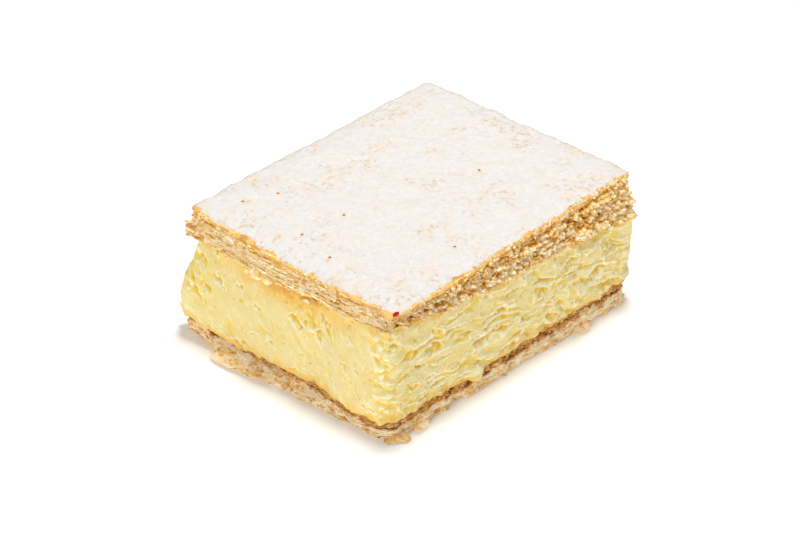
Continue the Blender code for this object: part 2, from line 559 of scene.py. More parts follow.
def base_material():
    """The base sheet: a golden edge, a floury foot, a band above it that the custard has soaked brown, and
    brown painted shade in its grooves, holes and cracks.
    """
    n = Nodes("base_pastry")
    height, groove = n.attribute("height"), n.attribute("groove")
    scratch = n.noise(1.5, 6, 0.74, (0.6, 0.6, 1.6))
    floury = n.mix(n.ramp(scratch, 0.42, 0.52), colour(252, 200, 118), colour(255, 238, 202))
    floury = n.mix(n.ramp(scratch, 0.41, 0.35), floury, colour(196, 132, 54))
    soaked = n.mix(n.ramp(n.noise(2.5, 4), 0.42, 0.64), colour(190, 130, 56), colour(232, 188, 108))
    wander = n.maths("ADD", height, n.ramp(n.noise(4, 3), 0.3, 0.7, -0.16, 0.16))
    n.base = n.mix(n.ramp(wander, 0.46, 0.7), floury, soaked)
    edge = n.maths("MULTIPLY", n.ramp(height, 0.2, 0.03), n.ramp(n.noise(2.2, 3), 0.42, 0.52))
    n.lay(edge, 240, 192, 96)
    # Painted shade: tan, then dark brown, deep in the grooves, holes and cracks.
    n.lay(n.ramp(groove, 0.08, 0.34), 206, 140, 56)
    n.lay(n.ramp(groove, 0.3, 0.66), 132, 68, 10)
    n.lay(n.ramp(n.noise(0.7, 3), 0.58, 0.68, 0.0, 0.6), 226, 170, 90)
    n.lay(n.ramp(n.noise(0.55, 2), 0.6, 0.68, 0.0, 0.8), 255, 252, 240)
    normal = n.bump(n.noise(0.45, 4, 0.6), 0.12)
    return n.surface(0.75, normal, Specular_IOR_Level=0.2)


def custard_material():
    """Set custard: a painted highlight on its ridges, deep yellow painted shade in its hollows, and stained
    where the pastry soaks it, with painted shade under the lid.
    """
    n = Nodes("custard")
    shade_and_highlight = n.attribute("shade_and_highlight")
    n.start(n.ramp(n.noise(7, 3), 0.4, 0.65), (237, 221, 158), (236, 214, 140))
    n.lay(n.ramp(n.noise(2.2, 5, 0.6), 0.5, 0.68, 0.0, 0.4), 247, 238, 194)
    # Painted highlight on ridges that stand above their neighbours, and deep yellow painted shade in the
    # hollows and tears below them.
    n.lay(n.ramp(shade_and_highlight, -0.08, -0.5, 0.0, 0.85), 255, 245, 204)
    n.lay(n.ramp(shade_and_highlight, 0.02, 0.35, 0.0, 0.85), 246, 213, 66)
    n.lay(n.ramp(shade_and_highlight, 0.35, 1.0, 0.0, 0.8), 234, 182, 14)
    # Soaked: a real soaking stain at the foot; under the lid, partly stain and partly painted shade of the
    # lid's overhang; above 1, a painted dark brown shadow under the lid's left edge.
    soaked = n.attribute("soaked")
    n.lay(n.ramp(soaked, 0.05, 0.7, 0.0, 0.85), 242, 202, 100)
    n.lay(n.ramp(soaked, 0.7, 1.0, 0.0, 0.7), 214, 150, 50)
    n.lay(n.ramp(soaked, 1.0, 1.3, 0.0, 0.8), 172, 104, 24)
    normal = n.bump(n.noise(0.7, 4, 0.55), 0.08)
    roughness = n.ramp(n.noise(3, 3), 0.35, 0.7, 0.38, 0.6)
    return n.surface(
        roughness, normal, Subsurface_Weight=0.3, Subsurface_Scale=0.7 * MM,
        Subsurface_Radius=(1.0, 0.85, 0.6), Specular_IOR_Level=0.35,
    )


def crust_material():
    """The lid's top leaf, baked brown, which shows at its rim and through thin sugar."""
    n = Nodes("lid_crust")
    n.start(n.ramp(n.noise(2.2, 4), 0.4, 0.65), (238, 192, 108), (208, 148, 70))
    n.lay(n.ramp(n.noise(0.8, 3), 0.56, 0.7, 0.0, 0.7), 250, 220, 158)
    normal = n.bump(n.noise(0.6, 4, 0.6), 0.12)
    return n.surface(0.65, normal, Specular_IOR_Level=0.3)


def sugar_material():
    """Dry icing sugar: matte white, warming to tan where it is thin, in specks and short creases."""
    n = Nodes("icing_sugar")
    thin = n.attribute("thin")
    n.start(n.ramp(n.noise(1.6, 6, 0.8), 0.4, 0.62), (219, 216, 214), (226, 223, 221))
    n.lay(n.ramp(n.noise(0.5, 2), 0.52, 0.7, 0.0, 0.35), 206, 200, 192)
    warm = n.maths("MULTIPLY", n.ramp(n.noise(5, 4, 0.6), 0.42, 0.68), n.ramp(thin, 0.0, 0.5, 0.3, 0.8))
    n.lay(warm, 226, 212, 196)
    speck = n.ramp(n.noise(1.7, 6, 0.72), 0.5, 0.65)
    n.lay(n.maths("MULTIPLY", speck, n.ramp(thin, 0.0, 0.6, 0.12, 0.72)), 198, 170, 124)
    n.lay(n.ramp(thin, 0.6, 0.9), 228, 180, 112)
    n.lay(n.ramp(thin, 1.0, 1.2), 120, 66, 24)
    normal = n.bump(n.noise(0.4, 3, 0.6), 0.06)
    return n.surface(0.95, normal, Specular_IOR_Level=0.1)


def flake_material(name, light, dark):
    """Small broken bits in two tones."""
    n = Nodes(name)
    n.start(n.ramp(n.noise(1.7, 3), 0.42, 0.6), light, dark)
    normal = n.bump(n.noise(0.35, 2), 0.04)
    return n.surface(0.75, normal, Specular_IOR_Level=0.25)


# ---------------------------------------------------------------- the pastry sheets


def near(value, middle, width):
    """1 at the middle of a stretch, falling smoothly to 0 away from it."""
    return np.exp(-((value - middle) / width) ** 2)


def lid_edge(rim, outward, height, spot):
    """The lid overhangs on the left, steps back at its top, and is crumbled at its front and right."""
    on_left = by_side(outward, 0, 0, 0, 1)
    to_corner = near(np.linalg.norm(rim - lid_under_plan.low, axis=1), 0, 14)
    lean = -by_side(outward, 0.1, 0.9, 0.9, 0.2) * ease(height, 0.75, 1.0) ** 2
    lean -= 4.0 * to_corner * (1 - height)
    lean += 0.4 * on_left * (1 - ease(height, 0.05, 0.12))
    lean += 1.2 * on_left * (1 - near(rim[:, 1], 0, 30)) * (height - 1)
    ledge = near(rim[:, 1], lid_under_plan.middle[1] - 34, 4.5)
    lean += 1.4 * on_left * ledge * (1 - ease(height, 0.0, 0.35))
    torn = by_side(outward, 1.0, 0.8, 0.6, 0.26) * (1 - 0.3 * ease(height, 0.75, 1.0))
    crumbly = torn * torn
    creases = ease(nearest_dot(spot, (1.3, 1.3, 1.0), 15), 0.2, 0.75)
    coarse = ease(nearest_dot(spot, (3.2, 3.2, 2.2), 16), 0.3, 0.8)
    pocket = crumbly * (0.7 * creases + 0.9 * coarse - 0.65)
    crack = near(rim[:, 1] - 2.2 * height, lid_under_plan.middle[1] - 19, 0.4)
    pocket += 1.3 * on_left * crack * ease(height, 0.3, 0.6)
    return Edge(lean, torn, 0.85 - 0.35 * crumbly - 0.12 * on_left, pocket)


# Where the soaked band has broken and arched up from the foot on the left, as Y and half width.
BASE_ARCHES = ((14.0, 3.0), (22.0, 2.4), (-13.0, 4.0), (-21.0, 2.6))


def base_edge(rim, outward, height, spot):
    """The base's foot is pressed out in a floury skirt, and the soaked band above it is holed and cracked."""
    on_left, on_front = by_side(outward, 0, 0, 0, 1), by_side(outward, 1, 0, 0, 0)
    foot = 1 - ease(height, 0.0, 0.6)
    skirt = 5.2 * near(rim[:, 1], 16, 16) + 1.7 * near(rim[:, 1], -13, 18)
    lean = 0.4 * foot - 0.3 * ease(height, 0.6, 1.0) + on_left * skirt * foot
    lean -= 2.0 * on_left * near(rim[:, 1], -6, 10) * (1 - foot)
    in_band = ease(height, 0.45, 0.62)
    holed = ease(bumps(spot, (9, 9, 30), 73) + 0.3 * on_front, 0.0, 0.4)
    holed = np.maximum(holed, on_front * near(rim[:, 0], -21, 5))
    holed = holed * in_band * ease(1 - height, 0.0, 0.15)
    holes = holed * (1 - ease(nearest_dot(spot, (1.9, 1.9, 1.3), 74), 0.15, 0.5))
    level = stack(*rim.T, 0.0)
    line = 0.6 + 0.16 * bumps(level, 7, 76) + 0.06 * bumps(level, 2, 77)
    arches = on_left * sum(near(rim[:, 1], middle, width) for middle, width in BASE_ARCHES).clip(0, 1)
    cracked = np.maximum(ease(bumps(level, 6, 78), -0.1, 0.25), arches)
    cracked = cracked * near(height, line + 0.16 * arches, 0.05)
    wrinkle = 0.3 * bumps(spot, (3, 3, 1.2), 75) + 0.4 * bumps(spot, (5, 5, 2.5), 79)
    torn = 0.1 + 0.4 * in_band + 0.4 * (1 - ease(height, 0.05, 0.25))
    return Edge(lean, torn, 0.14 + 0.6 * in_band, 1.8 * holes + 1.6 * cracked - wrinkle)


def lifted_foot(x, y):
    """The base's underside at its rim, curled off the table, most on the left."""
    from_left = x - base_foot_plan.low[0]
    wave = bumps(stack(x, y, 0.0), 16, 77)
    return 0.55 + 0.3 * wave + (0.8 + 0.5 * wave) * (1 - ease(from_left, 0.0, 8.0))


def lid_foot(x, y):
    """The lid's under edge: higher at the front left corner, and crumbling lower towards the front right."""
    to_left = np.hypot(x - lid_under_plan.low[0], y - lid_under_plan.low[1])
    to_right = np.hypot(x - lid_under_plan.high[0], y - lid_under_plan.low[1])
    gap = 1.3 * near(y, -12, 7) * (1 - ease(x - lid_under_plan.low[0], 0, 10))
    return lid_under(x, y) + gap + 1.0 * near(to_left, 0, 12) - 1.0 * near(to_right, 0, 26)


def lid_brim(x, y):
    """The lid's top surface, which droops along the middle of its left side."""
    return lid_over(x, y) - 1.7 * near(y, 2, 27) * (1 - ease(x - lid_top_plan.low[0], -1.5, 8.0))


def lid_shoulder(x, y):
    """The top of the lid's wall, which lies under the crust's edge, and lowest on the two far sides."""
    far = np.maximum(ease(x - lid_under_plan.high[0], -5, -1), ease(y - lid_under_plan.high[1], -5, -1))
    return lid_brim(x, y) - 0.6 - 1.0 * far


# How many leaves each sheet has, and the heights that close its wall.
LID_LEAVES, BASE_LEAVES = 12, 8
LID_CAPS = ((35.0, 35.0), (-3.0, -3.0))
BASE_CAPS = ((0.5, 0.02), (-0.8, -0.8))


def lid_wall():
    plans = (lid_under_plan, lid_top_plan)
    return leaved_wall(plans, lid_foot, lid_shoulder, LID_LEAVES, 11, lid_edge, LID_CAPS)


def base_wall():
    plans = (base_foot_plan, base_top_plan)
    return leaved_wall(plans, lifted_foot, base_over, BASE_LEAVES, 71, base_edge, BASE_CAPS)


# ---------------------------------------------------------------- the custard


def drag_frame(along, z, slant, key, seed):
    """Coordinates along and across a knife's way over a cut side, bent as soft custard bends."""
    c, s = math.cos(slant), math.sin(slant)
    run, across = along * c + z * s, z * c - along * s
    flat = stack(run, across, key)
    run = run + 1.2 * bumps(flat, 6, seed + 1)
    across = across + 1.6 * bumps(flat, (14, 9, 9), seed + 2) + 0.5 * bumps(flat, (5, 3.5, 9), seed + 3)
    return stack(run, across, key)


def tears(flat, size, cover, seed):
    """Torn hollows from 0 to 1, longest along the knife's way, and the raised lips round them."""
    long, high = size
    field = bumps(flat, (long, high, 9), seed) + 0.3 * bumps(flat, (0.35 * long, 0.5 * high, 9), seed + 1)
    field += 0.05 * bumps(flat, (0.8, 0.7, 9), seed + 2)
    return ease(field, cover, cover + 0.32), near(field, cover - 0.06, 0.08)


def streaks(flat, seed):
    """Fine furrows that the knife drew."""
    return 0.6 * bumps(flat, (16, 2.6, 9), seed) + 0.25 * bumps(flat, (9, 1.1, 9), seed + 1)


def folds(flat, spacing, seed):
    """Smears laid over one another like shingles, each with a lip that hangs over the next one down."""
    way = flat[:, 1] / spacing + 0.9 * bumps(flat, (4 * spacing, 1.8 * spacing, 9), seed)
    share = 1 - (way - np.floor(way))
    whole = ease(bumps(flat, (3 * spacing, 1.5 * spacing, 9), seed + 1), -0.35, 0.25)
    return whole * (share * (1 - ease(share, 0.66, 1.0)) - 0.3)


def billows(flat, size, seed):
    """Rounded swells pressed together, with sharp creases between them."""
    return np.abs(bumps(flat, (*size, 9), seed)) ** 0.6 - 0.5


def chunks(flat, size, seed):
    """Broken pieces longer than high, from 0 in the creases between them to 1."""
    bent = flat + stack(bumps(flat, 4, seed + 1), 0.6 * bumps(flat, 3, seed + 2), 0.0)
    return 1 - ease(nearest_dot(bent, (*size, 9), seed), 0.25, 0.95)


def rents(along, z, places, slope, seed):
    """Deep torn hollows with raised lips at given places, each with its half length and half height."""
    spot = stack(along, z, 0.0)
    along = along + 0.9 * bumps(spot, 2.6, seed) + 0.4 * bumps(spot, 1.1, seed + 1)
    z = z + 0.7 * bumps(spot, 2.2, seed + 2) + 0.35 * bumps(spot, 1.0, seed + 3)
    depth = np.zeros(len(along))
    for middle, height, long, high in places:
        away = np.hypot((along - middle) / long, (z - height - slope * (along - middle)) / high)
        depth += 0.6 * near(away, 1.5, 0.45) * ease(z - height, -0.5, 1.0) - 1.9 * near(away, 0, 0.85)
    return depth


def lumps(spot, size, seed):
    """Broken rounded lumps with sharp creases between them, from 0 in the creases to 1."""
    bent = spot + stack(*[bumps(spot, 0.8 * size, seed + 10 + k) for k in range(3)]) * 0.3 * size
    return 1 - ease(nearest_dot(bent, (size, size, 0.8 * size), seed), 0.0, 0.95) ** 1.3


def left_relief(spot):
    """A cut side that the knife crossed steeply: nearly smooth, with fine ridges, and torn under the lid."""
    key = np.sign(spot[:, 0]) * SIDE_SPACING
    flat = drag_frame(spot[:, 1], spot[:, 2], math.radians(48), key, 5)
    patch = near(spot[:, 1], -8, 9) * near(spot[:, 2], 27, 7)
    patch = np.maximum(patch, 0.8 * near(spot[:, 1], 36, 9) * near(spot[:, 2], 24, 9))
    wide, wide_lip = tears(flat, (7, 2.8), 0.6 - 0.52 * patch, 200)
    small, small_lip = tears(flat, (3.2, 1.3), 0.82 - 0.34 * patch, 210)
    ridge = 1 - ease(np.abs(bumps(flat, (15, 4.2, 9), 220)), 0.0, 0.08)
    relief = 0.7 * bumps(flat, (13, 6, 9), 224) + 0.5 * bumps(flat, (5, 3.4, 9), 225)
    relief += 0.14 * streaks(flat, 226) + 0.3 * folds(flat, 9, 228)
    swells = 0.8 * billows(flat, (8, 5), 232) + 0.5 * billows(flat, (3.6, 2.6), 233)
    relief += (0.15 + 0.85 * patch) * swells
    relief += 0.4 * ridge * ease(bumps(flat, 8, 221), -0.3, 0.3)
    relief += 0.5 * wide_lip + 0.35 * small_lip - 1.4 * wide - 0.7 * small
    relief += (spot[:, 0] < 0) * rents(spot[:, 1], spot[:, 2], LEFT_RENTS, 0.4, 284)
    torn = np.maximum(wide, patch * 0.7)
    return relief + torn * (1.5 * lumps(spot, 3.2, 223) + 0.4 * lumps(spot, 1.4, 227) - 0.6), torn


# Deep rents in the front and on the left, as X or Y, then Z, half length and half height.
FRONT_RENTS = (
    (-12, 17, 4.5, 1.1), (15, 22, 4.0, 1.2), (-3, 24, 3.0, 1.0), (27, 27, 4.0, 1.1), (-30, 13, 3.5, 0.9),
    (38, 18, 3.0, 1.2),
)
LEFT_RENTS = (
    (-8.5, 27, 2.2, 1.5), (-4.5, 24.5, 1.2, 0.9), (-12, 24, 1.6, 0.9), (13, 22, 1.2, 0.6), (20, 26, 1.0, 0.6),
    (-22, 20, 1.6, 0.7), (35, 29.5, 2.4, 1.2), (38, 21, 1.6, 0.9), (28, 25, 1.4, 0.6),
)


def front_relief(spot):
    """A cut side that the knife dragged along: furrows, torn hollows with lips, and lumps left in them."""
    key = np.sign(spot[:, 1]) * SIDE_SPACING
    flat = drag_frame(spot[:, 0], spot[:, 2], math.radians(-5), key, 9)
    wide, wide_lip = tears(flat, (16, 3.2), 0.36, 230)
    middling, middling_lip = tears(flat, (7, 2.2), 0.45, 240)
    small, small_lip = tears(flat, (3.2, 1.0), 0.62, 250)
    relief = 0.9 * bumps(flat, (12, 6, 9), 260) + 0.5 * bumps(flat, (4.5, 3, 9), 261)
    relief += 0.3 * streaks(flat, 262)
    rough = (0.75 * ease(spot[:, 0], -18, 6) + 0.6 * ease(bumps(flat, 12, 270), -0.05, 0.4)).clip(0, 1)
    relief += 0.3 * folds(flat, 9.0, 266) + 1.3 * rough * tears(flat, (9, 5), 0.05, 290)[0]
    relief += rough * (1.5 * chunks(flat, (7, 4.2), 272) + 0.4 * lumps(spot, 2.6, 275) - 1.0)
    relief += 0.4 * billows(flat, (5, 2.2), 278)
    relief += (spot[:, 1] < 0) * rents(spot[:, 0], spot[:, 2], FRONT_RENTS, 0.12, 280)
    relief += 0.5 * wide_lip + 0.4 * middling_lip + 0.3 * small_lip
    relief -= 1.1 * wide + 1.1 * middling + 0.6 * small
    torn = np.maximum(wide, middling)
    return relief + torn * (1.0 * lumps(spot, 3.4, 264) - 0.35) + 0.3, torn


def hollows(values, passes):
    """How far each place of the custard lies below its neighbours' mean, averaged over more each pass."""
    field = values.reshape(-1, CUSTARD_COLUMNS + 1)
    smooth = field
    for _ in range(passes):
        smooth = (np.roll(smooth, 1, 1) + np.roll(smooth, -1, 1) + 2 * smooth) / 4
        padded = np.concatenate([smooth[:1], smooth, smooth[-1:]])
        smooth = (padded[:-2] + padded[2:] + 2 * smooth) / 4
    return (smooth - field).ravel()


CUSTARD_COLUMNS, CUSTARD_ROWS = 1400, 97

# How far in the rows that close the custard below and above go, and how high its hidden underside is.
CUSTARD_CLOSING = (0, 5.0, 16.0)
CUSTARD_UNDERSIDE = 6.5

# Hollows are found against means of three widths: how much each counts, and the passes that it takes.
HOLLOW_SCALES = ((1.3, 3), (0.7, 12), (0.5, 60))


def custard_block():
    """The custard, out to its cut sides, which draw in under the lid and carry the knife's marks."""
    bm, turn, row, beyond = wall_grid(CUSTARD_COLUMNS, CUSTARD_ROWS)
    up = (row / (CUSTARD_ROWS - 1)).clip(0, 1)
    rim, outward = base_top_plan.walk(turn, np.zeros(len(turn)))
    on_left, on_front = by_side(outward, 0, 0, 0, 1), by_side(outward, 1, 0, 0, 0)
    recess = 1.6 * near(rim[:, 1], 14, 14) + 2.2 * near(rim[:, 1], -12, 8)
    top_inset = by_side(outward, 3.4, 0.6, 2.2, 2.8 + recess)
    foot_recess = 1.6 * near(rim[:, 1], -6, 10) - 1.4 * near(rim[:, 1], 31, 12)
    foot_inset = by_side(outward, 0.6, 0.4, 1.2, 0.6 + foot_recess)
    plan = leaning(base_top_plan, lid_under_plan, turn, foot_inset * (1 - up) + top_inset * up, up)
    spread = stack(*rim.T, 0.0)
    low_z = base_over(*plan.T) - 0.3 + 0.9 * bumps(spread, 7, 42) + 0.4 * bumps(spread, 2, 43)
    spill = on_front * near(rim[:, 0], -13, 2.6)
    low_z -= 3.2 * spill
    high_z = lid_foot(*plan.T) + 0.6
    z = low_z + (high_z - low_z) * up

    spot = stack(*plan.T, z)
    on_x_side = outward[:, 0] ** 2
    left, left_tear = left_relief(spot)
    front, front_tear = front_relief(spot)
    relief = left * on_x_side + front * (1 - on_x_side)
    torn = left_tear * on_x_side + front_tear * (1 - on_x_side)
    corner = near(np.linalg.norm(rim - base_top_plan.low, axis=1), 0, 9)
    broken = 2.4 * lumps(spot, 5.4, 31) + 1.2 * lumps(spot, 2.4, 33) - 1.8
    relief = relief * (1 - 0.8 * corner) + corner * broken
    far_left = np.array([base_top_plan.low[0], base_top_plan.high[1]])
    relief += 6.0 * near(np.linalg.norm(plan - far_left, axis=1), 0, 11) * near(z, 19.5, 9)
    pits = 1 - ease(nearest_dot(spot, (4.5, 4.5, 2.4), 35, 0.12), 0.06, 0.3)
    relief += 0.5 * bumps(spot, 11, 37) + (0.04 + 0.08 * torn) * rough_bumps(spot, 1.5, 39, 2) - 1.1 * pits
    relief += 4 * up * (1 - up) * by_side(outward, 0.5, 0.6, 1.5, 1.0)
    relief += 1.6 * spill * (1 - ease(up, 0.1, 0.3))
    relief = np.where(relief > 0.6, 0.6 + (relief - 0.6) * 0.5, relief)
    relief = relief * (1 - 0.6 * ease(up, 0.9, 1.0)) * ease(up, -0.1, 0.06) - 0.4 * ease(up, 0.92, 1.0)
    # Painted light for the material: below 0 a ridge gets a painted highlight, above 0 a hollow or tear gets
    # painted shade.
    shade_and_highlight = 0.3 * torn + sum(amount * hollows(relief, passes) for amount, passes in HOLLOW_SCALES)

    plan = plan + outward * relief[:, None]
    z = z - 0.5 * relief * (1 - ease(up, 0.85, 1.0)) * ease(up, 0.02, 0.2)
    cap_plan, _ = base_top_plan.walk(turn, np.array(CUSTARD_CLOSING)[beyond])
    plan = np.where((beyond > 0)[:, None], cap_plan, plan)
    z = np.where(row < 0, CUSTARD_UNDERSIDE, np.where(row >= CUSTARD_ROWS, high_z.min() - 0.3, z))
    wobble = 0.05 * bumps(spot, 4, 41) + 0.03 * bumps(spot, 1.5, 45)
    # Where the pastry soaks the custard: a real stain at the foot; under the lid, a band that is partly stain
    # and partly painted shade of the lid's overhang; and under the lid's left edge, past 1, a painted dark
    # brown shadow.
    stain_and_lid_shade = on_left * near(rim[:, 1], 2, 26) * ease(up + wobble, 0.62, 0.9)
    soaked = np.maximum(0.65 * (1 - ease(up + wobble, 0.0, 0.14)), 0.6 * ease(up + wobble, 0.9, 0.99))
    painted_lid_shadow = 1.5 * on_left * near(rim[:, 1], -10, 8) * ease(up + 0.6 * wobble, 0.8, 0.92)
    soaked = np.maximum(soaked, np.maximum(stain_and_lid_shade, painted_lid_shadow))
    move_verts(bm, stack(*plan.T, z))
    write_layers(bm, {"soaked": soaked, "shade_and_highlight": shade_and_highlight})
    wrap_round(bm)
    return bm


# ---------------------------------------------------------------- the lid's top


# Where brown pinholes show in the sugar, and where it is thin over spots of crust, with their radii.
PINHOLES = (
    (-36.0, 30.4), (-21.5, 3.7), (-36.8, 5.4), (-26.0, 26.1), (-39.8, -8.6), (-12.0, -30.5), (24.0, -8.0),
)
THIN_SPOTS = (
    (48.6, 14.6, 2.4), (48.7, -5.2, 2.0), (26.9, 30.6, 3.4), (22.7, 10.6, 2.4), (-45.4, -25.7, 2.6),
    (-41.0, 19.5, 4.0), (-7.2, -28.5, 3.6), (50.0, 34.0, 3.0), (44.0, -24.0, 3.0), (-35.0, 29.0, 2.0),
    (53.6, 29.0, 1.4), (53.8, 8.0, 1.2), (53.4, -19.0, 1.6), (36.0, 39.2, 1.4), (16.0, 39.6, 1.1),
    (-12.0, 39.4, 1.1),
)

# How much the crust and the sugar are rounded at their corners in plan, and the cells of their grids.
PLATE_CORNER = 3.2
CRUST_GRID = (236, 188)
SUGAR_GRID = (330, 264)


def plate(outline, columns, rows, margins, ragged, seed):
    """A grid over a plan, with ragged sides, which start inside the plan by the margins.

    The margins are those of the left, right, front and back sides.
    """
    bm = unit_grid(columns, rows)
    u, v = grid_shares(bm)
    low, high = outline.low, outline.high
    x = low[0] + (high[0] - low[0]) * u
    y = low[1] + (high[1] - low[1]) * v
    left, right, front, back = margins

    def rag(px, py, key):
        spot = stack(px, py, key * PLATE_SPACING)
        fine = 0.35 * bumps(spot, 1.6, seed + 1) + 0.25 * bumps(spot, 0.7, seed)
        return ragged * (0.9 * bumps(spot, 5, seed) + fine)

    x_low = low[0] + left + rag(low[0], y, 1)
    x_high = high[0] - right - rag(high[0], y, 2)
    y_low = low[1] + front + rag(x, low[1], 3)
    y_high = high[1] - back - rag(x, high[1], 4)
    x, y = x_low + (x_high - x_low) * u, y_low + (y_high - y_low) * v
    away_x, away_y = x - outline.middle[0], y - outline.middle[1]
    past_x = np.maximum(abs(away_x) - outline.half[0] + PLATE_CORNER, 0)
    past_y = np.maximum(abs(away_y) - outline.half[1] + PLATE_CORNER, 0)
    pull = 1 - np.maximum(past_x, past_y) / np.maximum(np.hypot(past_x, past_y), 1e-6)
    return bm, x - np.sign(away_x) * past_x * pull, y - np.sign(away_y) * past_y * pull


def rim_distances(x, y):
    """How far places on the lid are from its left, right, front and back sides."""
    low, high = lid_top_plan.low, lid_top_plan.high
    return x - low[0], high[0] - x, y - low[1], high[1] - y


def crust_height(x, y):
    """The lid's top leaf: blistered, and drooping a little at its rim."""
    spot = stack(x, y, 0.0)
    rim = np.min(rim_distances(x, y), axis=0)
    blisters = 0.28 * bumps(spot, 9, 81) + 0.16 * bumps(spot, 3.4, 82) + 0.07 * bumps(spot, 1.3, 83)
    droop = 0.6 * (1 - ease(rim, -0.4, 1.2)) + 0.3 * (1 - ease(rim, 0.0, 5.0)) * (1 + bumps(spot, 4, 84))
    return lid_brim(x, y) - 0.35 + blisters - droop


def lid_crust():
    bm, x, y = plate(lid_top_plan, *CRUST_GRID, (0.1, 0.7, 0.1, 0.9), 0.4, 85)
    move_verts(bm, stack(x, y, crust_height(x, y)))
    close_under(bm, ((-0.1, 0.35), (0.2, 0.5), (2.5, 0.3), (12, 0.6)))
    return bm


def icing_sugar():
    """A thin bed of sugar over the crust: it dips below the crust at its front border and in pinholes."""
    bm, x, y = plate(lid_top_plan, *SUGAR_GRID, (0.1, -0.3, 0.1, -0.5), 0.5, 91)
    spot = stack(x, y, 0.0)
    to_left, to_right, to_front, to_back = rim_distances(x, y)
    ragged = 0.9 * bumps(spot, 5, 92) + 0.6 * bumps(spot, 1.6, 93) + 0.45 * bumps(spot, 0.7, 94)
    edge = np.minimum(to_left, to_front) - 0.9
    shown = ease(edge + ragged, -0.4, 0.9)
    bed = 0.36 * shown * (0.35 + 0.65 * ease(np.minimum(to_right, to_back) + 0.3 * ragged, 0.4, 2.0))
    border = 1 - ease(np.minimum(edge, np.minimum(to_right, to_back)), 0, 15)
    patches = ease(bumps(spot, 14, 95) + 0.5 * bumps(spot, 5, 96) + 0.55 * border, 0.0, 0.8)
    crease = 1 - ease(np.abs(bumps(spot, (6, 6, 9), 97) + 0.3 * bumps(spot, 1.6, 98)), 0.0, 0.07)
    crease = crease * ease(bumps(spot, 3.5, 103), 0.1, 0.5) * (0.35 + 0.65 * patches)
    pins = np.max([near(np.hypot(x - px, y - py), 0, 0.65) for px, py in PINHOLES], axis=0)
    spots = np.max([near(np.hypot(x - px, y - py), 0, radius) for px, py, radius in THIN_SPOTS], axis=0)
    patches = np.maximum(patches, spots)
    bed = bed * (1 - 0.3 * patches) - 0.2 * pins - 0.08 * crease
    soft = 0.07 * bumps(spot, 2.5, 100) + 0.03 * bumps(spot, 0.9, 101)
    hidden = -0.6 * ease(edge + ragged, -0.3, -0.8)
    move_verts(bm, stack(x, y, crust_height(x, y) + bed + soft * ease(bed, 0.05, 0.3) - 0.03 + hidden))
    bare_corner = near(np.hypot(to_left, to_back), 0, 4.2)
    thin = np.maximum(0.6 * patches, np.maximum(1.5 * pins, 1 - ease(shown, 0.0, 0.6)))
    thin = np.maximum(thin, np.maximum(0.8 * crease, bare_corner))
    write_layers(bm, {"thin": thin})
    close_under(bm, ((0.6, 0.5), (14, 0.4)))
    return bm


# ---------------------------------------------------------------- flakes and crumbs


rng = np.random.default_rng(7)

# The search for places on a side starts this far outside its outline, and looks in this far.
SEARCH_START = 12
SEARCH_REACH = 30
SEARCH_BATCH = 256

# Nothing loose lies lower than this.
LOWEST_CRUMB = 0.05


def wall_spots(tree, outline, low_z, high_z, count, chance, span):
    """Places on a piece's side, found by looking in from outside it, with the way the side faces there.

    chance says how likely each place round the outline is. span is the share of the height that they cover.
    """
    places, ways = [], []
    while len(places) < count:
        rim, outward = outline.walk(rng.random(SEARCH_BATCH), np.zeros(SEARCH_BATCH))
        kept = rng.random(SEARCH_BATCH) < chance(rim, outward)
        share = rng.uniform(*span, SEARCH_BATCH)
        z = low_z(*rim.T) * (1 - share) + high_z(*rim.T) * share
        outside = rim + SEARCH_START * outward
        starts = stack(*outside.T, z) * MM
        for start, way in zip(starts[kept], outward[kept]):
            hit = tree.ray_cast(Vector(start), Vector((-way[0], -way[1], 0)), SEARCH_REACH * MM)[0]
            if hit:
                places.append(hit / MM)
                ways.append((way[0], way[1], 0.0))
    return np.array(places[:count]), np.array(ways[:count])


def lid_spots(count, chance, span=(0.0, 1.0)):
    return wall_spots(lid_tree, lid_under_plan, lid_foot, lid_brim, count, chance, span)


def base_spots(count, chance, span):
    return wall_spots(base_tree, base_foot_plan, lifted_foot, base_over, count, chance, span)


def custard_spots(count, chance):
    return wall_spots(custard_tree, base_top_plan, base_over, lid_foot, count, chance, (0.0, 1.0))


def on_sides(*weights, rising=None):
    """Chances that differ from side to side: front, right, back and left.

    rising is the two places along X between which they grow, where they do.
    """

    def chance(rim, outward):
        return by_side(outward, *weights) * (ease(rim[:, 0], *rising) if rising else 1.0)

    return chance


def at_corners(rim, _):
    """Chances that gather at the lid's back left and front right corners."""
    low, high = lid_under_plan.low, lid_under_plan.high
    back_left = np.hypot(rim[:, 0] - low[0], rim[:, 1] - high[1])
    front_right = np.hypot(rim[:, 0] - high[0], rim[:, 1] - low[1] + FRONT_SLANT * LID_HALF_LENGTH)
    return np.maximum(near(back_left, 0, 4), near(front_right, 0, 4))


def copies_of(bm, count):
    """A bmesh of many copies of a small shape, and how many vertices each has."""
    mesh = mesh_from("copies", bm)
    maker = put_in_scene("copies", mesh)
    array = maker.modifiers.new("row", "ARRAY")
    array.count = count
    array.use_relative_offset = False
    row = bpy.data.meshes.new_from_object(maker.evaluated_get(bpy.context.evaluated_depsgraph_get()))
    size = len(mesh.vertices)
    bpy.data.objects.remove(maker)
    made = bmesh.new()
    made.from_mesh(row)
    return made, size


def any_axes(count):
    """Axes that point every way."""
    return np.linalg.qr(rng.normal(size=(count, 3, 3)))[0]


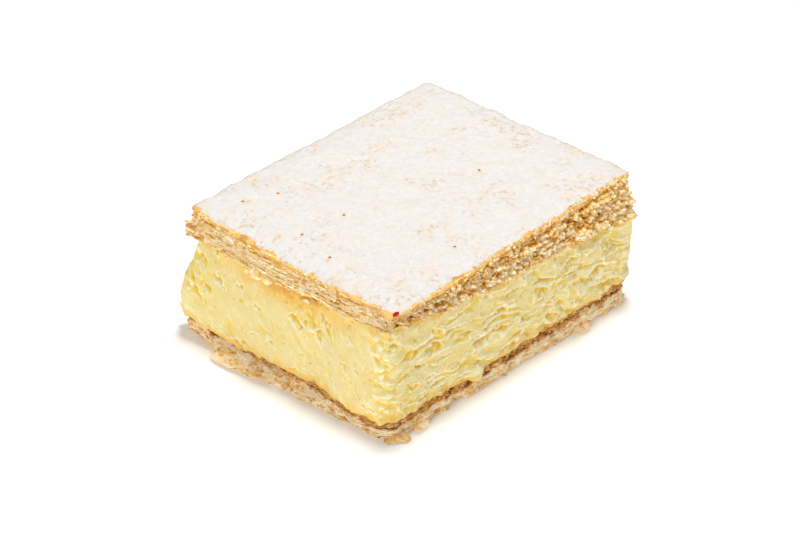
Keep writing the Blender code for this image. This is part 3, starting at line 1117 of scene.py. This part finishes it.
def side_axes(ways, spin, tilt):
    """Axes for flat bits that lie in the leaves: along the side, out of it and up, all turned a little."""
    up = np.array([0.0, 0.0, 1.0]) + rng.normal(size=ways.shape) * tilt
    out = ways + rng.normal(size=ways.shape) * spin
    along = np.cross(out, up)
    along /= np.linalg.norm(along, axis=1)[:, None]
    up /= np.linalg.norm(up, axis=1)[:, None]
    return np.stack([along, np.cross(up, along), up], axis=1)


def scatter(bm, places, axes, sizes, rough, seed, bend=None):
    """Copies of a small shape, each stretched, bent, set in its own axes and roughened at its own place."""
    bm, size = copies_of(bm, len(places))
    shape = np.array([vert.co for vert in bm.verts])[:size]
    local = shape[None] * sizes[:, None, :]
    if bend is not None:
        local[:, :, 2] += bend[:, None] * (shape[None, :, 0] ** 2 + 0.6 * shape[None, :, 1] ** 2) * 4
    points = (local @ axes + places[:, None, :]).reshape(-1, 3)
    points += stack(*[bumps(points, 2.4 * rough, seed + k) for k in range(3)]) * rough
    points[:, 2] = np.maximum(points[:, 2], LOWEST_CRUMB)
    move_verts(bm, points)
    bmesh.ops.recalc_face_normals(bm, faces=bm.faces)
    return bm


def grain_shape():
    bm = bmesh.new()
    bmesh.ops.create_icosphere(bm, subdivisions=1, radius=0.5)
    return bm


def unit_plate(columns, rows):
    """A plate one unit long, wide and thick."""
    bm = unit_grid(columns, rows)
    bmesh.ops.solidify(bm, geom=bm.faces[:], thickness=1.0)
    bmesh.ops.translate(bm, verts=bm.verts, vec=(0, 0, 0.5))
    return bm


def shard_shape():
    """A thin plate, narrower at its ends."""
    bm = unit_plate(4, 2)
    for vert in bm.verts:
        vert.co.y *= 1 - 0.6 * (2 * vert.co.x) ** 4
    return bm


def crumbs(spots, smallest, largest, seed):
    """Small broken grains stuck on at the given spots."""
    places, ways = spots
    count = len(places)
    size = smallest + (largest - smallest) * rng.random(count) ** 3
    sizes = size[:, None] * rng.uniform(0.5, 1.25, (count, 3))
    places = places + ways * size[:, None] * 0.05
    return scatter(grain_shape(), places, any_axes(count), sizes, 0.2, seed)


def shards(spots, length, width, thickness, spin, tilt, seed, sunk=0.3):
    """Thin broken flakes that stick out of a side, lying roughly in its leaves."""
    places, ways = spots
    count = len(places)
    longs = rng.uniform(*length, count)
    wides = rng.uniform(*width, count)
    sizes = stack(longs, wides, rng.uniform(*thickness, count))
    axes = side_axes(ways, spin, tilt)
    places = places + axes[:, 1] * (wides * (0.5 - sunk))[:, None]
    bend = rng.uniform(-0.22, 0.22, count) * longs * 0.5
    return scatter(shard_shape(), places, axes, sizes, 0.22, seed, bend)


# A big flake: its middle, the way its length points in plan and how steeply it rises, how far it is rolled
# about its length, in degrees, its length, width and thickness, and how far its ends bend up.
Flake = namedtuple("Flake", "middle heading rise roll size bend")

FLOURY_FLAKES = (
    Flake((-54.2, 21.5, 1.4), -88, 2, 12, (10.5, 3.2, 0.2), 0.5),
    Flake((-53.2, 13.0, 1.0), -95, -3, 8, (6.0, 2.6, 0.2), 0.4),
    Flake((-49.8, -23.0, 1.0), -84, 4, 8, (7.0, 2.4, 0.2), 0.4),
    Flake((-46.8, -14.5, 5.2), -88, -12, 50, (7.0, 2.6, 0.2), -0.8),
    Flake((-47.4, -19.5, 4.3), -80, -16, 54, (5.5, 2.4, 0.2), -0.7),
    Flake((-37.6, -41.8, 1.3), -4, 0, 8, (5.0, 2.0, 0.2), 0.4),
    Flake((29.6, -44.8, 1.3), -12, 3, 10, (6.8, 2.2, 0.2), 0.5),
    Flake((48.4, -43.6, 1.9), 12, 6, 20, (5.6, 2.6, 0.5), 0.4),
)
GOLDEN_FLAKES = (
    Flake((-45.6, -39.6, 1.3), -40, 3, -12, (7.4, 4.0, 0.25), -1.2),
    Flake((-44.8, -39.6, 0.8), -32, -2, 6, (5.4, 2.2, 0.2), 0.3),
    Flake((-48.4, 43.9, 7.2), 100, 50, -20, (4.4, 3.0, 0.35), -0.6),
    Flake((-48.2, 40.0, 38.8), 140, 6, 30, (3.2, 2.6, 0.6), 0.4),
    Flake((-48.4, 39.8, 37.6), 160, 16, -30, (3.0, 2.4, 0.5), -0.3),
    Flake((-48.8, 39.2, 36.8), 100, -14, 40, (3.6, 2.6, 0.6), -0.4),
    Flake((-48.6, 39.6, 35.9), 120, 24, -10, (3.2, 2.2, 0.5), 0.3),
    Flake((-48.5, 39.6, 35.0), 130, -24, 10, (3.0, 2.0, 0.5), 0.4),
)
LID_FLAKES = (
    Flake((-50.8, 11.0, 34.8), -86, -4, 24, (6.0, 1.8, 0.3), 0.4),
    Flake((-50.8, 5.2, 35.0), -92, 6, 34, (3.2, 1.5, 0.3), 0.3),
    Flake((-50.2, -9.5, 35.8), -84, -8, 30, (3.8, 1.4, 0.25), -0.3),
)
RED_SPECK = (
    Flake((-47.0, -40.2, 43.75), 30, -14, 16, (1.7, 1.0, 0.5), 0.1),
    Flake((-46.2, -40.4, 43.9), 80, -10, 0, (1.0, 0.7, 0.4), 0.1),
)


def leaf_shape():
    """A thin torn leaf with a ragged outline."""
    bm = unit_plate(30, 18)
    spots = np.array([vert.co for vert in bm.verts])
    far = stack(np.sign(spots[:, 0]), spots[:, 1], 0.0)
    side = stack(spots[:, 0], np.sign(spots[:, 1]), 9.0)
    long = 1 + 0.16 * rough_bumps(far, 0.3, 61, 3, 0.6)
    wide = 1 + 0.32 * rough_bumps(side, 0.22, 62, 3, 0.6)
    for vert, length, width in zip(bm.verts, long, wide):
        vert.co.y *= (1 - 0.7 * (2 * vert.co.x) ** 4) * width
        vert.co.x *= length
    return bm


def placed_flakes(flakes, seed):
    """Big flakes, each put in its own place."""
    heading, rise, roll = np.radians([(flake.heading, flake.rise, flake.roll) for flake in flakes]).T
    along = stack(np.cos(heading) * np.cos(rise), np.sin(heading) * np.cos(rise), np.sin(rise))
    level = stack(-np.sin(heading), np.cos(heading), 0.0)
    over = np.cross(along, level)
    across = level * np.cos(roll)[:, None] + over * np.sin(roll)[:, None]
    axes = np.stack([along, across, np.cross(along, across)], axis=1)
    places, sizes = (np.array([getattr(flake, key) for flake in flakes]) for key in ("middle", "size"))
    bend = np.array([flake.bend for flake in flakes])
    return scatter(leaf_shape(), places, axes, sizes, 0.07, seed, bend)


# ---------------------------------------------------------------- stage


# The floor gives a little light of its own, which keeps it white beside the slice.
FLOOR_GLOW = 0.09
FLOOR_HALF_SIZE = 3.0


def add_floor():
    bm = bmesh.new()
    bmesh.ops.create_grid(bm, x_segments=1, y_segments=1, size=FLOOR_HALF_SIZE)
    mesh = mesh_from("floor", bm)
    n = Nodes("floor")
    n.base, glow = colour(252, 252, 252), colour(246, 249, 255)
    white = n.surface(0.9, Specular_IOR_Level=0.0, Emission_Color=glow, Emission_Strength=FLOOR_GLOW)
    mesh.materials.append(white)
    floor = put_in_scene("floor", mesh)


def turn_towards(made, way):
    """Points a lamp or a camera along a way."""
    made.rotation_mode = "QUATERNION"
    made.rotation_quaternion = way.to_track_quat("-Z", "Y")


def add_softbox(name, place, size, watts):
    """A soft light that points at the middle of the slice's foot."""
    light = bpy.data.lights.new(name, "AREA")
    light.shape = "RECTANGLE"
    light.size, light.size_y = size
    light.energy = watts
    light.color = (1, 0.995, 0.985)
    lamp = put_in_scene(name, light)
    lamp.location = place
    turn_towards(lamp, Vector((0, 0, 0.02)) - Vector(place))


def add_light():
    world = bpy.data.worlds.new("studio")
    world.use_nodes = True
    background = world.node_tree.nodes["Background"]
    background.inputs["Color"].default_value = (1, 0.975, 0.935, 1)
    background.inputs["Strength"].default_value = 0.3
    bpy.context.scene.world = world
    add_softbox("overhead", (0.07, 0.0, 0.8), (0.17, 0.17), 4.75)
    add_softbox("left_fill", (-1.05, -0.3, 0.48), (0.6, 0.4), 5.1)
    add_softbox("front_fill", (0.7, -0.9, 0.5), (0.4, 0.4), 1.5)


def add_camera():
    data = bpy.data.cameras.new("camera")
    data.lens = VIEW_LENS
    data.sensor_width = SENSOR_WIDTH
    camera = put_in_scene("camera", data)
    level = math.cos(VIEW_ELEVATION)
    sideways = (math.sin(VIEW_AZIMUTH) * level, -math.cos(VIEW_AZIMUTH) * level)
    back = Vector((*sideways, math.sin(VIEW_ELEVATION)))
    camera.location = (Vector(VIEW_TARGET) + back * VIEW_DISTANCE) * MM
    turn_towards(camera, -back)
    bpy.context.scene.camera = camera
    bpy.context.scene.view_settings.view_transform = "Standard"


# ---------------------------------------------------------------- putting it together


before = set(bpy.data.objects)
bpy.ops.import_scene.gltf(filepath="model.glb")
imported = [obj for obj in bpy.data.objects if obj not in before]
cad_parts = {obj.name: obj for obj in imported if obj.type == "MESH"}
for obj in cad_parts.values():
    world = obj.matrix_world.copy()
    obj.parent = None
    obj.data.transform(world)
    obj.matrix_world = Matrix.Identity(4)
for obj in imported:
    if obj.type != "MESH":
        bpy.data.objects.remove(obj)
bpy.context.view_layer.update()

lid_box, base_box = box_mm("lid_pastry"), box_mm("base_pastry")
base_top_box = (box_mm("custard")[0], base_box[1])
lid_under_plan = Outline(lid_box, LID_UNDER_INSETS, LID_CORNERS, FRONT_SLANT)
lid_top_plan = Outline(lid_box, LID_TOP_INSETS, LID_CORNERS, 0.0)
base_top_plan = Outline(base_top_box, BASE_TOP_INSETS, BASE_CORNERS, FRONT_SLANT)
base_foot_plan = Outline(base_top_box, BASE_FOOT_INSETS, BASE_CORNERS, FRONT_SLANT)
base_over = Surface("base_pastry", base_top_plan, True)
lid_under, lid_over = Surface("lid_pastry", lid_top_plan, False), Surface("lid_pastry", lid_top_plan, True)

custard = finish_piece("custard_block", custard_block(), custard_material(), ["custard"])
lid = finish_piece("lid_leaves", lid_wall(), lid_material(), ["lid_pastry"])
base = finish_piece("base_leaves", base_wall(), base_material(), ["base_pastry"])
finish_piece("lid_crust", lid_crust(), crust_material())
finish_piece("sugar_bed", icing_sugar(), sugar_material())

cream = flake_material("cream_crumbs", (238, 222, 184), (226, 174, 88))
golden = flake_material("golden_flakes", (246, 224, 176), (236, 184, 96))
red = flake_material("red_speck", (214, 30, 44), (176, 14, 30))
lid_tree, base_tree, custard_tree = tree_of(lid), tree_of(base), tree_of(custard)


def scatter_on(name, bm, material):
    """Loose matter as a piece with plain facets."""
    finish_piece(name, bm, material, smooth=False)


spots = lid_spots(9400, on_sides(1.0, 0.8, 0.4, 0.14))
scatter_on("lid_crumbs", crumbs(spots, 0.25, 1.0, seed=120), cream)

spots = lid_spots(900, on_sides(0.6, 0.6, 0.6, 0.3))
lid_flakes = shards(spots, (0.7, 2.1), (0.4, 1.1), (0.1, 0.25), spin=0.3, tilt=0.2, seed=130)
scatter_on("lid_flakes", lid_flakes, golden)

spots = lid_spots(280, on_sides(1, 0.8, 0.2, 0.12, rising=(-60, 30)), (0.84, 1.0))
rim_flakes = shards(spots, (0.7, 2.2), (0.4, 1.1), (0.1, 0.2), spin=0.7, tilt=0.8, seed=136, sunk=0.2)
scatter_on("rim_flakes", rim_flakes, golden)

spots = lid_spots(260, on_sides(1, 0.8, 0.3, 0.05, rising=(-40, 20)), (0.0, 0.14))
scatter_on("hanging_crumbs", crumbs(spots, 0.6, 2.0, seed=140), cream)

spots = custard_spots(200, on_sides(1, 0.8, 0.5, 0.6))
scatter_on("fallen_crumbs", crumbs(spots, 0.25, 0.9, seed=150), golden)

spots = base_spots(240, on_sides(0.5, 0.8, 0.8, 1), (0.0, 0.3))
base_flakes = shards(spots, (0.8, 2.6), (0.5, 1.1), (0.1, 0.2), spin=0.3, tilt=0.12, seed=160, sunk=0.45)
scatter_on("base_flakes", base_flakes, cream)

spots = base_spots(420, on_sides(1, 0.8, 0.8, 0.6), (0.05, 1.0))
scatter_on("base_crumbs", crumbs(spots, 0.2, 0.9, seed=170), cream)

# The base's own material makes them floury where its height says that they are low on it.
floury = placed_flakes(FLOURY_FLAKES, seed=180)
write_layers(floury, {"height": np.full(len(floury.verts), 0.3)})
scatter_on("floury_flakes", floury, base.data.materials[0])
scatter_on("golden_leaves", placed_flakes(GOLDEN_FLAKES, seed=184), golden)
finish_piece("red_speck", placed_flakes(RED_SPECK, seed=188), red)

spots = lid_spots(260, at_corners, (0.1, 0.95))
scatter_on("corner_crumbs", crumbs(spots, 0.6, 2.1, seed=200), golden)
finish_piece("big_lid_flakes", placed_flakes(LID_FLAKES, seed=190), cream)

add_floor()
add_light()
add_camera()
